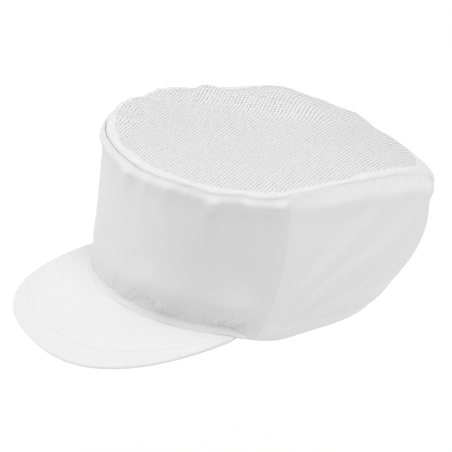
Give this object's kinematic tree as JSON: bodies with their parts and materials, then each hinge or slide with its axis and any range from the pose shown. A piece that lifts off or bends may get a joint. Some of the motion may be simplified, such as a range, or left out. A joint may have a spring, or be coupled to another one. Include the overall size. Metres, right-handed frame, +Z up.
{
  "type": "bump cap",
  "caption": "White peaked bump cap: tall twill front, bagging back, open mesh crown and short visor over a removable hard impact shell with foam pads.",
  "frame": {"origin": "middle of the cap's bounding box, on the table plane it stands on", "axes": "+Z up, the visor points to -Y, +X is the wearer's left"},
  "size_m": [0.1844, 0.3046, 0.1179],
  "materials": {
    "twill": "matte woven",
    "mesh": "matte open knit",
    "visor_cloth": "matte woven",
    "tape": "matte woven",
    "elastic": "ribbed",
    "board": "matte",
    "shell": "satin moulded",
    "foam": "matte closed-cell foam",
    "hook_loop": "matte pile",
    "slider": "satin moulded"
  },
  "bodies": {
    "cap": {"front_panel": "twill", "back_panel_left": "twill", "back_panel_right": "twill", "crown_mesh": "mesh", "crown_seam_allowance": "tape", "front_hem_facing": "tape", "front_trim_strip": "tape", "back_elastic": "elastic", "back_casing": "tape", "side_seam_tape_left": "tape", "side_seam_tape_right": "tape", "back_seam_tape": "tape", "visor_top_cover": "visor_cloth", "visor_board": "board", "visor_bottom_cover": "visor_cloth", "loop_patch_left": "hook_loop", "loop_patch_right": "hook_loop", "adjuster_strap": "elastic"},
    "insert": {"impact_shell": "shell", "brow_pad": "foam", "side_pad_left": "foam", "side_pad_right": "foam", "rear_pad": "foam", "crown_pad": "foam", "hook_patch_left": "hook_loop", "hook_patch_right": "hook_loop"},
    "slider": {"adjuster_slider": "slider"}
  },
  "joints": [
    {"name": "insert_lift", "type": "slide", "parent": "cap", "child": "insert", "axis": [0, 0, -1], "range_m": [0, 0.13]},
    {"name": "adjuster_slide", "type": "hinge", "parent": "cap", "child": "slider", "pos_m": [0, 0.03202, 0.013], "axis": [0, 0, 1], "range_deg": [-26, 26]}
  ]
}
